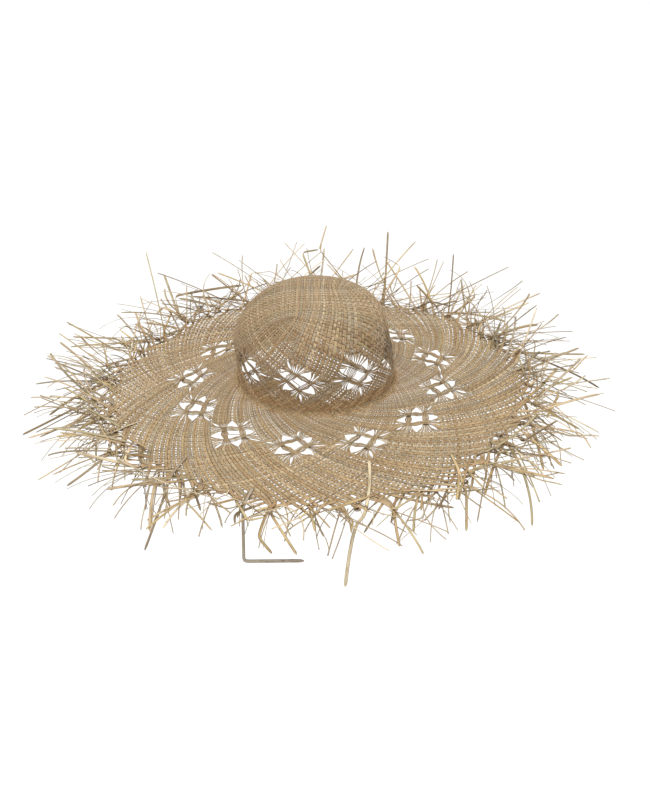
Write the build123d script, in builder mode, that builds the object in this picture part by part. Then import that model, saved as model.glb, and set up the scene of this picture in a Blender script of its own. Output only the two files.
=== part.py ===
"""Wide straw sun hat with a domed crown, an openwork pattern and a long fringe.

Millimetres, +Z up. The origin is the centre of the head opening, at the level of the
sweatband's lower edge, so the crown stands above it and the brim falls away below it.
"""

import math
import os
import random

from build123d import *

os.makedirs("parts", exist_ok=True)

# ---- driving dimensions ------------------------------------------------------------
HEAD_RADIUS = 90.7  # a 57 cm head
RIBBON_THICKNESS = 1.2
RIBBON_WIDTH = 12.0
WEAVE = 1.2  # two layers of flat straw, over and under

CROWN_RADIUS = HEAD_RADIUS + RIBBON_THICKNESS + WEAVE
CROWN_HEIGHT = 113.0
WALL_TOP_OF_CYLINDER = 32.0  # the wall is upright up to here, then it domes over
DOME_RADIAL_POWER = 2.75
DOME_HEIGHT_POWER = 2.6
FLARE_RADIUS = 4.0  # the bend from the wall into the brim

BRIM_RADIUS = 243.0  # edge of the closed weave
BRIM_DROP = 22.0
BRIM_DROP_POWER = 1.35

BAND_HEIGHT = 13.0  # plain weave under the crown's openwork
CROWN_OPENWORK_TOP = 68.0
CROWN_DIAMONDS = 8
CROWN_DIAMOND_HEIGHT_AT = 39.5
CROWN_DIAMOND_HALF = (34.0, 24.5)  # along the wall, up the wall
CROWN_FIRST_AZIMUTH = -9.5  # degrees from the front, towards +X

OPENWORK_RADII = (118.0, 188.0)  # ring of the brim that holds the openwork
BRIM_DIAMONDS = 12
BRIM_DIAMOND_AT = 152.5
BRIM_DIAMOND_HALF = (38.0, 31.0)  # around the brim, along its radius
BRIM_FIRST_AZIMUTH = -9.5

HOLE_SHARE = 0.2  # size of each hole inside a diamond, as a share of the diamond
HOLE_PLACES = ((0.5, 0.5), (0.5, 0.13), (0.5, 0.87), (0.13, 0.5), (0.87, 0.5))

TIES = 36  # small bunches of straw bound at the edge
TIE_LENGTH = 22.0
TIE_HALF = (3.0, 1.8)  # half width and half height of a tie's section
EDGE_GAP = 0.05
TIE_GAP = 0.3  # between a tie's end and the straw that comes out of it

FRINGE_GROUPS = 12
STRAWS_PER_TIE = 3  # one out of the tie itself and two between ties
STRAW_WIDTH = 2.8
STRAW_THICKNESS = 0.8
FRINGE_REACH = (330.0, 366.0)  # how far from the axis the loose ends come
FRONT_SHORTER = 34.0  # the ends are this much shorter straight ahead
FRINGE_LEAN = 4.0  # degrees to either side of straight out
FRINGE_DROPS = (-6.0, 20.0)  # degrees below level
FRINGE_SEED = 11
HANGING_DROP = 84.0
HANGING_STRAWS = {11.6: 112.0, -18.4: 72.0, -48.4: 92.0, 38.4: 66.0, -71.6: 60.0}  # bearing: length

STITCHES = 72
STITCH_SIZE = (2.2, 0.8, 0.8)  # along the ribbon, radially, up

PROFILE_STEPS = 10


def meridian(station):
    """A point (radius, height) on the hat's upper surface, from 0 at the tip to 4 at
    the brim's edge: 0-1 dome, 1-2 upright wall, 2-3 flare, 3-4 brim."""
    part, along = min(int(station), 3), station - min(int(station), 3)
    if part == 0:
        turn = along * math.pi / 2
        rise = CROWN_HEIGHT - WALL_TOP_OF_CYLINDER
        return (
            CROWN_RADIUS * math.sin(turn) ** (2 / DOME_RADIAL_POWER),
            WALL_TOP_OF_CYLINDER + rise * math.cos(turn) ** (2 / DOME_HEIGHT_POWER),
        )
    flare_top = FLARE_RADIUS - WEAVE / 2
    if part == 1:
        return CROWN_RADIUS, WALL_TOP_OF_CYLINDER + (flare_top - WALL_TOP_OF_CYLINDER) * along
    if part == 2:
        turn = along * math.pi / 2
        return (
            CROWN_RADIUS + FLARE_RADIUS * (1 - math.cos(turn)),
            flare_top - FLARE_RADIUS * math.sin(turn),
        )
    inner = CROWN_RADIUS + FLARE_RADIUS
    return (
        inner + (BRIM_RADIUS - inner) * along,
        -WEAVE / 2 - BRIM_DROP * along**BRIM_DROP_POWER,
    )


def station_at(low, high, reached):
    """The station between low and high where reached() turns true, by bisection."""
    for _ in range(60):
        middle = (low + high) / 2
        if reached(*meridian(middle)):
            high = middle
        else:
            low = middle
    return high


def inset(station):
    """The point under meridian(station), one weave thickness into the material."""
    step = 1e-4
    before = meridian(max(station - step, 0))
    after = meridian(min(station + step, 4))
    run, fall = after[0] - before[0], after[1] - before[1]
    length = math.hypot(run, fall)
    radius, height = meridian(station)
    return radius + fall / length * WEAVE, height - run / length * WEAVE


def stations(low, high):
    return [low + (high - low) * i / PROFILE_STEPS for i in range(PROFILE_STEPS + 1)]


def ring_zone(low, high):
    """A closed ring of weave between two stations."""
    steps = stations(low, high)
    upper = [meridian(s) for s in steps]
    under = [inset(s) for s in reversed(steps)]
    with BuildPart() as zone:
        with BuildSketch(Plane.XZ):
            with BuildLine():
                Spline(*upper)
                Line(upper[-1], under[0])
                Spline(*under)
                Line(under[-1], upper[0])
            make_face()
        revolve(axis=Axis.Z)
    return zone.part


def diamond(half, scale=1.0):
    """The corners of a diamond with the given half diagonals, times scale."""
    across, up = half[0] * scale, half[1] * scale
    return (across, 0), (0, up), (-across, 0), (0, -up)


def lattice(half):
    """A diamond with one hole in its middle and one at each side, in the open sketch."""
    Polygon(*diamond(half))
    for u, v in HOLE_PLACES:
        with Locations((half[0] * (u - v), half[1] * (u + v - 1))):
            Polygon(*diamond(half, HOLE_SHARE), mode=Mode.SUBTRACT)


def front_turn(azimuth):
    """The direction of an azimuth counted from the front (-Y) towards +X."""
    turn = math.radians(azimuth)
    return Vector(math.sin(turn), -math.cos(turn), 0)


def crown_plane(index):
    """The plane on the crown's axis that faces diamond number index."""
    outward = front_turn(CROWN_FIRST_AZIMUTH + index * 360 / CROWN_DIAMONDS)
    along = Vector(-outward.Y, outward.X, 0)
    return Plane((0, 0, CROWN_DIAMOND_HEIGHT_AT), x_dir=along, z_dir=outward)


def brim_plane(index):
    """The plane over the brim's diamond number index, looking up."""
    outward = front_turn(BRIM_FIRST_AZIMUTH + index * 360 / BRIM_DIAMONDS)
    along = Vector(outward.Y, -outward.X, 0)
    return Plane(outward * BRIM_DIAMOND_AT - Vector(0, 0, BRIM_DROP * 2), x_dir=along)


def edge_plane(bearing, radius, heading, drop):
    """A plane beside the brim's edge at a bearing from the front. Its normal points along
    heading, drop degrees below level."""
    forward = front_turn(heading)
    fall = math.radians(drop)
    normal = forward * math.cos(fall) - Vector(0, 0, math.sin(fall))
    edge = front_turn(bearing) * radius - Vector(0, 0, BRIM_DROP + WEAVE)
    return Plane(edge, x_dir=Vector(-forward.Y, forward.X, 0), z_dir=normal)


def fringe_straws(group, chance):
    """The start plane and length of each loose straw end in one sector of the fringe."""
    ties_here = TIES // FRINGE_GROUPS
    step = 360 / (TIES * STRAWS_PER_TIE)
    straws = []
    for slot in range(group * ties_here * STRAWS_PER_TIE, (group + 1) * ties_here * STRAWS_PER_TIE):
        bearing = slot * step
        start = BRIM_RADIUS + EDGE_GAP + (0 if slot % STRAWS_PER_TIE else TIE_LENGTH + TIE_GAP)
        heading = bearing + chance.uniform(-FRINGE_LEAN, FRINGE_LEAN)
        drop = chance.uniform(*FRINGE_DROPS)
        ahead = max(0, math.cos(math.radians(bearing)))
        reach = chance.uniform(*FRINGE_REACH) - FRONT_SHORTER * ahead**2
        straws.append((edge_plane(bearing, start, heading, drop), reach - start))
    for bearing, length in HANGING_STRAWS.items():
        if int(bearing % 360 / step) // (ties_here * STRAWS_PER_TIE) == group:
            plane = edge_plane(bearing, BRIM_RADIUS + STRAW_THICKNESS, bearing, HANGING_DROP)
            straws.append((plane, length))
    return straws


def finish(piece, name):
    piece.part.label = name
    export_step(piece.part, f"parts/{name}.step")


# ---- crown -------------------------------------------------------------------------
wall_top = station_at(0, 1, lambda radius, height: height <= CROWN_OPENWORK_TOP)
wall_bottom = station_at(1, 2, lambda radius, height: height <= BAND_HEIGHT)
openwork_start = station_at(3, 4, lambda radius, height: radius >= OPENWORK_RADII[0])
openwork_end = station_at(3, 4, lambda radius, height: radius >= OPENWORK_RADII[1])

tip_steps = stations(0, wall_top)
tip_upper = [meridian(s) for s in tip_steps]
tip_under = [(0, CROWN_HEIGHT - WEAVE)] + [inset(s) for s in tip_steps[1:]]
with BuildPart() as crown_tip:
    with BuildSketch(Plane.XZ):
        with BuildLine():
            Spline(*tip_upper, tangents=[(1, 0), Vector(*tip_upper[-1]) - Vector(*tip_upper[-2])])
            Line(tip_upper[-1], tip_under[-1])
            Spline(*tip_under, tangents=[(1, 0), Vector(*tip_under[-1]) - Vector(*tip_under[-2])])
            Line(tip_under[0], tip_upper[0])
        make_face()
    revolve(axis=Axis.Z)
finish(crown_tip, "crown_tip")

dome_side = ring_zone(wall_top, 1)
upright_side = ring_zone(1, wall_bottom)
with BuildPart() as crown_blank:
    add(dome_side)
    add(upright_side)

with BuildPart() as crown_wall:
    add(crown_blank.part)
    for index in range(CROWN_DIAMONDS):
        with BuildSketch(crown_plane(index)):
            Polygon(*diamond(CROWN_DIAMOND_HALF))
        extrude(amount=2 * CROWN_RADIUS, mode=Mode.SUBTRACT)
finish(crown_wall, "crown_wall")

for index in range(CROWN_DIAMONDS):
    with BuildPart() as crown_openwork:
        add(crown_blank.part)
        with BuildSketch(crown_plane(index)):
            lattice(CROWN_DIAMOND_HALF)
        extrude(amount=2 * CROWN_RADIUS, mode=Mode.INTERSECT)
    finish(crown_openwork, f"crown_openwork_{index + 1}")

band_side = ring_zone(wall_bottom, 2)
flare = ring_zone(2, 3)
with BuildPart() as crown_base_band:
    add(band_side)
    add(flare)
finish(crown_base_band, "crown_base_band")

# ---- sweatband ---------------------------------------------------------------------
with BuildPart() as sweatband:
    with BuildSketch(Plane.XY):
        Circle(HEAD_RADIUS + RIBBON_THICKNESS)
        Circle(HEAD_RADIUS, mode=Mode.SUBTRACT)
    extrude(amount=RIBBON_WIDTH)
finish(sweatband, "sweatband")

with BuildPart() as sweatband_stitching:
    stitch_radius = HEAD_RADIUS + RIBBON_THICKNESS - STITCH_SIZE[1] / 2 - 0.01
    for index in range(STITCHES):
        with BuildSketch(Plane.XY.offset(RIBBON_WIDTH).rotated((0, 0, index * 360 / STITCHES))):
            with Locations((stitch_radius, 0)):
                Rectangle(STITCH_SIZE[1], STITCH_SIZE[0])
        extrude(amount=STITCH_SIZE[2])
finish(sweatband_stitching, "sweatband_stitching")

# ---- brim --------------------------------------------------------------------------
inner_weave = ring_zone(3, openwork_start)
with BuildPart() as brim_inner_weave:
    add(inner_weave)
finish(brim_inner_weave, "brim_inner_weave")

openwork_ring = ring_zone(openwork_start, openwork_end)
with BuildPart() as brim_middle_weave:
    add(openwork_ring)
    for index in range(BRIM_DIAMONDS):
        with BuildSketch(brim_plane(index)):
            Polygon(*diamond(BRIM_DIAMOND_HALF))
        extrude(amount=4 * BRIM_DROP, mode=Mode.SUBTRACT)
finish(brim_middle_weave, "brim_middle_weave")

for index in range(BRIM_DIAMONDS):
    with BuildPart() as brim_openwork:
        add(openwork_ring)
        with BuildSketch(brim_plane(index)):
            lattice(BRIM_DIAMOND_HALF)
        extrude(amount=4 * BRIM_DROP, mode=Mode.INTERSECT)
    finish(brim_openwork, f"brim_openwork_{index + 1}")

outer_weave = ring_zone(openwork_end, 4)
with BuildPart() as brim_outer_weave:
    add(outer_weave)
finish(brim_outer_weave, "brim_outer_weave")

# ---- edge ties and fringe ----------------------------------------------------------
with BuildPart() as edge_ties:
    for index in range(TIES):
        bearing = index * 360 / TIES
        with BuildSketch(edge_plane(bearing, BRIM_RADIUS + EDGE_GAP, bearing, 0)):
            Ellipse(*TIE_HALF)
        extrude(amount=TIE_LENGTH)
finish(edge_ties, "edge_ties")

fringe_chance = random.Random(FRINGE_SEED)
for group in range(FRINGE_GROUPS):
    straws = fringe_straws(group, fringe_chance)
    with BuildPart() as fringe:
        for plane, length in straws:
            with BuildSketch(plane):
                Rectangle(STRAW_WIDTH, STRAW_THICKNESS)
            extrude(amount=length)
    finish(fringe, f"fringe_{group + 1:02d}")
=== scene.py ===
"""Looks of the woven straw sun hat: every straw of the crown, brim and fringe as a ribbon.

The weave is drawn in index coordinates (u, v), where the two families of straw are the
lines at whole u and whole v. A log-polar map of the hat's surface turns those lines into
two families of spirals. On the crown four corners turn them into a square grid at the top.
Everything is in metres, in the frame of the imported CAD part.
"""

import math

import bpy
import numpy as np
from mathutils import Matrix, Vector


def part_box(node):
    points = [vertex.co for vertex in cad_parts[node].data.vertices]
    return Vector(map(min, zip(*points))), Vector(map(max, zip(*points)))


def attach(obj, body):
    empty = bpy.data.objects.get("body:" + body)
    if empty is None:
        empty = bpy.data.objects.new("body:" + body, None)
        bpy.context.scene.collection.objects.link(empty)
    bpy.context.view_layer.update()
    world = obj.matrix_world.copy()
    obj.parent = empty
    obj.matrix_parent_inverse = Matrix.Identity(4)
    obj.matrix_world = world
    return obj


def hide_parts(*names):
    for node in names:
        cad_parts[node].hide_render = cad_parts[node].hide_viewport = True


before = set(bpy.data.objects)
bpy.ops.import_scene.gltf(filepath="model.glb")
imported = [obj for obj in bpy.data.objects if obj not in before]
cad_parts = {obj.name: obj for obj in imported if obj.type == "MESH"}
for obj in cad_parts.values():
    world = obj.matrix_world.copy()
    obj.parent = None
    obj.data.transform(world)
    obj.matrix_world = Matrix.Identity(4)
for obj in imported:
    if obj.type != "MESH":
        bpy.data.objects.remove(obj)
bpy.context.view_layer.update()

# ---- sizes read from the frame ----
WEAVE = 0.0012  # thickness of the CAD weave; straws run in its middle
CROWN_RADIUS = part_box("crown_wall")[1].x
CROWN_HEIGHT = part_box("crown_tip")[1].z
BRIM_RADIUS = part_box("brim_outer_weave")[1].x
BRIM_DROP = -WEAVE / 2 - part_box("brim_outer_weave")[0].z - WEAVE
OPENWORK_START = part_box("brim_inner_weave")[1].x
OPENWORK_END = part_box("brim_middle_weave")[1].x
TIP_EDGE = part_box("crown_tip")[0].z + WEAVE / 2
BAND_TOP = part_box("crown_wall")[0].z
HEAD_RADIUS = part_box("sweatband")[1].x - WEAVE
RIBBON_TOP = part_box("sweatband")[1].z

# ---- the hat's outline, as in the CAD ----
WALL_TOP_OF_CYLINDER = 0.032
DOME_RADIAL_POWER = 2.75
DOME_HEIGHT_POWER = 2.6
FLARE_RADIUS = 0.004
BRIM_DROP_POWER = 1.35
BRIM_TILT = 0.007  # the brim's left side hangs lower
BRIM_SAG = 0.004
CROWN_LEAN = -0.005  # the crown's wall bulges to one side half way up

# ---- the weave ----
CROWN_STRAWS = 104  # in each family, around the wall
CROWN_DIAMONDS = 8
CROWN_GATHERED = 13  # straws of each family in one diamond
CROWN_SLANT = 1.38  # how much wider than high the weave's cells are on the wall
CROWN_FIRST_AZIMUTH = -9.5  # degrees from the front
CROWN_DIAMOND_HEIGHT = 0.039
TOP_CORNER = 0.066  # how far the corners of the square top are from its middle
TOP_SHIFT = complex(-0.0315, 0.0115)  # the square top is not centred on the crown
SHIFT_FADES = (0.065, 0.175)

BRIM_STRAWS = 180
BRIM_DIAMONDS = 12
BRIM_GATHERED = 15
BRIM_SLANT = 1.25
BRIM_FIRST_AZIMUTH = -9.5
BRIM_DIAMOND_RADIUS = 0.1515

CROWN_SHARE_AT = (0.0, 0.012, 0.018, 0.066, 0.085, 0.2)  # heights
CROWN_SHARE = (1.05, 1.05, 0.93, 0.93, 1.0, 1.0)  # a straw's width as a share of its room
BRIM_SHARE_AT = (0.097, 0.13, 0.20, 0.243)  # radii
BRIM_SHARE = (0.86, 0.92, 0.95, 0.80)
THINNER = (1.0, 0.70)  # the second family's straws are narrower, and lie a little lower
LOWER = (0.00006, -0.00006)
WIDEST = 0.0056
STRAW_THICKNESS = 0.0005
WAVE_HEIGHT = 0.00042  # how far a straw goes over and under
STRAY = 0.085  # how far a straw strays sideways, in cells
WRAPS = (-2, -1, 0, 1, 2)  # turns of the hat that a straw's indices may have run on by
KNOTS = (0.32, 0.68)  # where the bundles cross, across a diamond
KNOT_LIFT = 0.0009  # how far a bundle rises over another
CROWN_STACK = 0.0005  # how far straws in a bundle lie over each other
BRIM_STACK = 0.0006
GATHER_AT = (0.0, 0.07, 0.16, 0.32, 0.5, 0.68, 0.84, 0.93, 1.0)
GATHER = (1.0, 0.66, 0.42, 0.2, 0.36, 0.2, 0.42, 0.66, 1.0)  # spread of a bundle at those places
NARROWED = 0.34  # width of a straw inside a diamond, as a share
LEAST_ROOM, MOST_ROOM = 0.0012, 0.006  # limits to the room of one straw near the corners

TIES = 36
TIE_RADIUS = 0.261
LOOSENS_AT = 0.228  # radius where straws start to draw together into ties
TIED_SHARE = 0.28
FRINGE_GROUPS = 12
SQUARE_BEND = -17.2  # bearing of the hanging straw that is bent square
FIBRES = 700  # tries: fewer are kept around the front

chance = np.random.default_rng(516)


def smooth(x):
    """0 below 0, 1 above 1, and an even curve between."""
    x = np.clip(x, 0, 1)
    return x * x * (3 - 2 * x)


def link(name, data):
    """A new object in the scene."""
    made = bpy.data.objects.new(name, data)
    bpy.context.scene.collection.objects.link(made)
    return made


# ---- surface ----
class Meridian:
    """The middle of the weave from the tip (s = 0) to the brim's edge, by arc length."""

    def __init__(self):
        turn = np.linspace(1e-4, math.pi / 2, 1500)
        rise = CROWN_HEIGHT - WALL_TOP_OF_CYLINDER
        radius = [CROWN_RADIUS * np.sin(turn) ** (2 / DOME_RADIAL_POWER)]
        height = [WALL_TOP_OF_CYLINDER + rise * np.cos(turn) ** (2 / DOME_HEIGHT_POWER)]
        flare_top = FLARE_RADIUS - WEAVE / 2
        down = np.linspace(0, 1, 200)[1:]
        radius.append(np.full(down.size, CROWN_RADIUS))
        height.append(WALL_TOP_OF_CYLINDER + (flare_top - WALL_TOP_OF_CYLINDER) * down)
        radius.append(CROWN_RADIUS + FLARE_RADIUS * (1 - np.cos(down * math.pi / 2)))
        height.append(flare_top - FLARE_RADIUS * np.sin(down * math.pi / 2))
        out = np.linspace(0, 1.2, 1500)[1:]
        inner = CROWN_RADIUS + FLARE_RADIUS
        radius.append(inner + (BRIM_RADIUS - inner) * out)
        height.append(-WEAVE / 2 - BRIM_DROP * out**BRIM_DROP_POWER)
        r, z = np.concatenate(radius), np.concatenate(height)
        run, fall = np.gradient(r), np.gradient(z)
        length = np.hypot(run, fall)
        self.nr, self.nz = -fall / length, run / length
        self.r, self.z = r - self.nr * WEAVE / 2, z - self.nz * WEAVE / 2
        self.r = np.maximum(self.r, 1e-6)
        self.s = np.concatenate([[0], np.cumsum(np.hypot(np.diff(r), np.diff(z)))]) + self.r[0]

    def at_radius(self, radius):
        """Arc length where the brim reaches a radius."""
        on_brim = self.z < 0
        return np.interp(radius, self.r[on_brim], self.s[on_brim])

    def at_height(self, height):
        """Arc length where the crown comes down to a height."""
        on_crown = self.z > 0
        return np.interp(-height, -self.z[on_crown], self.s[on_crown])

    def place(self, s, azimuth, lift):
        """Points and upward normals of the surface, lifted along the normal."""
        r, z, nr, nz = (np.interp(s, self.s, a) for a in (self.r, self.z, self.nr, self.nz))
        foot = CROWN_RADIUS + FLARE_RADIUS
        out = np.clip((r - foot) / (BRIM_RADIUS - foot), 0, 1.1)
        z = z + np.where(s > self.at_height(0.001), brim_wave(azimuth, out), 0)
        c, n = np.cos(azimuth), np.sin(azimuth)
        r = r + nr * lift
        lean = CROWN_LEAN * np.sin(math.pi * np.clip(z / CROWN_HEIGHT, 0, 1)) ** 3
        return np.stack([r * c + lean, r * n, z + nz * lift], -1), np.stack([nr * c, nr * n, nz], -1)


def brim_wave(azimuth, out):
    """How far the brim is off its even shape: it tilts, sags and rolls a little all round."""
    tilt = BRIM_TILT * np.cos(azimuth + 0.44) * smooth(out / 0.5)
    sag = BRIM_SAG * np.sin(math.pi * np.clip(out, 0, 1))
    roll = (
        0.0030 * np.sin(2 * azimuth + 0.6)
        + 0.0025 * np.sin(3 * azimuth + 2.1)
        + 0.0020 * np.sin(5 * azimuth + 4.0)
        + 0.0012 * np.sin(9 * azimuth + 1.0)
    )
    return tilt - sag + roll * out**2.5


hat = Meridian()
crown_slant = 1 + (CROWN_SLANT - 1) * smooth((0.082 - hat.z) / 0.02)
brim_slant = np.full(hat.s.size, BRIM_SLANT)


def log_radius(slant, start, start_value):
    """The log of the map's radius along the meridian, equal to start_value at s = start."""
    step = np.diff(hat.s) * (slant[1:] / hat.r[1:] + slant[:-1] / hat.r[:-1]) / 2
    grown = np.concatenate([[0], np.cumsum(step)])
    return grown - np.interp(start, hat.s, grown) + start_value


crown_log = log_radius(crown_slant, 0.004, math.log(0.004))
brim_log = log_radius(brim_slant, hat.at_radius(BRIM_RADIUS), 0)


# ---- diamonds ----
def diamond_centres(straws, count, first_azimuth, log_centre, gathered, offset):
    """Index coordinates of each diamond's middle, snapped so its sides run between straws."""
    per_radian = straws / (2 * math.pi)
    azimuth = math.radians(first_azimuth) - math.pi / 2
    snap = 0.5 if gathered % 2 == 0 else 0.0
    u = per_radian * (log_centre - azimuth) + offset.real
    v = per_radian * (log_centre + azimuth) + offset.imag
    u, v = (math.floor(x) + snap for x in (u, v))
    period = straws / count
    return [(u - k * period, v + k * period) for k in range(count)]


def gather(across, along, family, centres, straws, gathered):
    """Pulls the straws inside each diamond into two bundles.

    across is the straw's own whole index and along the running one. Returns how far
    across moves, how deep inside a diamond each point is (0 to 1), which diamond it is in
    (-1 for none) and which way its bundle crosses there.
    """
    shift = np.zeros(along.size)
    inside = np.zeros(along.size)
    which = np.full(along.size, -1)
    knot_side = np.zeros(along.size)
    low = -gathered / 2
    for number, centre in enumerate(centres):
        for turn in WRAPS:
            u0, v0 = centre[0] - turn * straws, centre[1] + turn * straws
            mine, other = (u0, v0) if family == 0 else (v0, u0)
            p = (across - mine - low) / gathered
            q = (along - other - low) / gathered
            hit = (p > 0) & (p < 1) & (q > 0) & (q < 1)
            if not hit.any():
                continue
            p, q = p[hit], q[hit]
            bundle = np.where(p < 0.5, KNOTS[0], KNOTS[1])
            spread = np.interp(q, GATHER_AT, GATHER)
            shift[hit] = gathered * (bundle + (p - bundle) * spread - p)
            inside[hit] = smooth(np.minimum(q, 1 - q) / 0.16)
            which[hit] = number
            side = np.where((p < 0.5) == (q < 0.5), 1.0, -1.0) * (1 if family == 0 else -1)
            from_knot = np.minimum(np.abs(q - KNOTS[0]), np.abs(q - KNOTS[1]))
            knot_side[hit] = side * np.cos(np.clip(from_knot / 0.2, 0, 1) * math.pi / 2)
    return shift, inside, which, knot_side


# ---- one ribbon of straw ----
SECTION = np.array([(-0.5, 0), (-0.27, 0.5), (0.27, 0.5), (0.5, 0), (0.27, -0.5), (-0.27, -0.5)])
SIDES = len(SECTION)


def ribbon(points, normals, width, thickness):
    """The corners of a ribbon's cross-sections: (points, SIDES, 3)."""
    ahead = np.gradient(points, axis=0)
    ahead /= np.linalg.norm(ahead, axis=1, keepdims=True) + 1e-12
    side = np.cross(ahead, normals)
    side /= np.linalg.norm(side, axis=1, keepdims=True) + 1e-12
    up = np.cross(side, ahead)
    width = np.broadcast_to(width, len(points))[:, None, None]
    thickness = np.broadcast_to(thickness, len(points))[:, None, None]
    x, y = SECTION[None, :, :1], SECTION[None, :, 1:]
    return points[:, None] + side[:, None] * x * width + up[:, None] * y * thickness


class Straws:
    """Collects lengths of straw and turns them into one closed mesh."""

    def __init__(self):
        self.corners, self.grain, self.tint, self.lengths = [], [], [], []

    def add(self, corners, grain, tint):
        """One more length of straw, from the corners of its cross-sections."""
        self.corners.append(corners.reshape(-1, 3))
        self.grain.append(grain.reshape(-1, 3))
        self.tint.append(tint.reshape(-1, 3))
        self.lengths.append(len(corners))

    def faces(self):
        """Four corners for each face: the walls of every length and its two ends."""
        ring = np.arange(SIDES)
        beside = (ring + 1) % SIDES
        made, start = [], 0
        for count in self.lengths:
            base = start + np.arange(count - 1)[:, None] * SIDES
            wall = np.stack([base + ring, base + beside, base + SIDES + beside, base + SIDES + ring], -1)
            made.append(wall.reshape(-1, 4))
            last = start + (count - 1) * SIDES
            made.append(np.array([(5, 2, 1, 0), (5, 4, 3, 2)]) + start)
            made.append(np.array([(0, 1, 2, 5), (2, 3, 4, 5)]) + last)
            start += count * SIDES
        return np.concatenate(made)

    def piece(self, name, material):
        """One object from all the lengths, with grain and tint for its material."""
        quads = self.faces()
        corners = np.concatenate(self.corners)
        mesh = bpy.data.meshes.new(name)
        mesh.vertices.add(len(corners))
        mesh.vertices.foreach_set("co", corners.astype(np.float32).ravel())
        mesh.loops.add(quads.size)
        mesh.loops.foreach_set("vertex_index", quads.astype(np.int32).ravel())
        mesh.polygons.add(len(quads))
        mesh.polygons.foreach_set("loop_start", np.arange(len(quads), dtype=np.int32) * 4)
        mesh.polygons.foreach_set("use_smooth", np.ones(len(quads), bool))
        mesh.update(calc_edges=True)
        grain = mesh.attributes.new("grain", "FLOAT_VECTOR", "POINT")
        grain.data.foreach_set("vector", np.concatenate(self.grain).astype(np.float32).ravel())
        tint = mesh.attributes.new("tint", "FLOAT_COLOR", "POINT")
        rgba = np.concatenate([np.concatenate(self.tint), np.ones((len(corners), 1))], 1)
        tint.data.foreach_set("color", rgba.astype(np.float32).ravel())
        mesh.materials.append(material)
        return link(name, mesh)


# ---- a straw's colour ----
# Straw colours, linear, with how often each turns up in the weave.
TAN, CREAM, BROWN, GREY, GREEN = (
    (0.465, 0.318, 0.168),
    (0.58, 0.435, 0.265),
    (0.39, 0.245, 0.115),
    (0.395, 0.305, 0.195),
    (0.43, 0.33, 0.165),
)
WEAVE_COLOURS = np.array([TAN, CREAM, BROWN, GREY, GREEN])
WEAVE_ODDS = (0.54, 0.13, 0.17, 0.10, 0.06)
PAINTED_EDGE_SHADE = np.array([0.42, 1.06, 1.06, 0.42, 0.8, 0.8])  # painted shade on a straw's edges and underside and a painted highlight on its top, so its section looks round
CROWN_TONE = np.array([0.88, 0.88, 0.89])
BRIM_TONE = np.array([0.88, 0.905, 0.89])


def straw_colour(points, odds=WEAVE_ODDS, fade=0.12):
    """One straw's colour along its length: a base tone that drifts a little."""
    base = WEAVE_COLOURS[chance.choice(len(WEAVE_COLOURS), p=odds)]
    other = WEAVE_COLOURS[chance.choice(len(WEAVE_COLOURS), p=odds)]
    length = np.concatenate([[0], np.cumsum(np.linalg.norm(np.diff(points, axis=0), axis=1))])
    wave = 0.5 + 0.5 * np.sin(length / chance.uniform(0.02, 0.08) + chance.uniform(0, 6.28))
    mixed = base + (other - base) * (wave * chance.uniform(0, 0.5))[:, None]
    bright = 1 + chance.normal(0, 0.08) + fade * 0.5 * np.sin(length / 0.013 + chance.uniform(0, 6.28))
    return mixed * bright[:, None], length


def finish_straw(
    pieces, zone, points, normals, width, thickness=STRAW_THICKNESS, odds=WEAVE_ODDS, shade=1.0
):
    """Cuts one straw into its zones and adds each length to that zone's mesh."""
    corners = ribbon(points, normals, width, thickness)
    colour, length = straw_colour(points, odds)
    shape = corners.shape[:2]
    # shade is a tone that may hold painted light, from the crown's base and the brim's foot
    colour = colour * shade
    # painted shade and highlight across each straw's section
    tint = colour[:, None] * PAINTED_EDGE_SHADE[None, :, None]
    wide = np.broadcast_to(width, len(points))
    across = SECTION[None, :, 0] * wide[:, None]
    seed = chance.uniform(0, 50)
    grain = np.stack([np.broadcast_to(length[:, None], shape), across, np.full(shape, seed)], -1)
    cuts = [0, *(np.flatnonzero(np.diff(zone)) + 1), len(zone)]
    for low, high in zip(cuts[:-1], cuts[1:]):
        stop = min(high + 1, len(zone))
        if stop - low < 2:
            continue
        pieces[zone[low]].add(corners[low:stop], grain[low:stop], tint[low:stop])


# ---- crown ----
# A point z of the crown's map has the index coordinates u + iv. Their rate of change is
# CROWN_RATE / (z^4 - TOP_CORNER^4)^(1/4): spirals far out, and a square grid inside the
# four corners. Outside them the coordinates are a logarithm less the series here.
EIGHTH_TURN = complex(math.cos(math.pi / 4), math.sin(math.pi / 4))
CROWN_RATE = CROWN_STRAWS / (math.sqrt(2) * math.pi) * EIGHTH_TURN
SERIES_TERMS = 4000
FEWER_TERMS = 60  # enough well away from the corners
MOST_STEPS = 600
SHIFT_ROUNDS = 30  # until a shifted point of the top stops moving
term = np.arange(1, SERIES_TERMS + 1)
SERIES = np.cumprod((4 * term - 3) / (4 * term)) / (4 * term)


def crown_index(z):
    """Index coordinates u + iv of points of the crown's map, outside its four corners."""
    x = (TOP_CORNER / z) ** 4
    terms = FEWER_TERMS if np.min(np.abs(z)) > 1.2 * TOP_CORNER else SERIES_TERMS
    tail = sum(SERIES[i] * x ** (i + 1) for i in range(terms))
    return CROWN_RATE * (np.log(np.abs(z)) + 1j * np.angle(z) - tail)


corner_index = CROWN_RATE * (math.log(TOP_CORNER) - SERIES.sum())
CROWN_OFFSET = 0.5 + 0.5j - corner_index  # puts the corners between straws


def crown_shift(zeta):
    """The square top sits off the crown's axis; lower down the map is centred again."""
    return TOP_SHIFT * (1 - smooth((np.abs(zeta) - SHIFT_FADES[0]) / (SHIFT_FADES[1] - SHIFT_FADES[0])))


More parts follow.
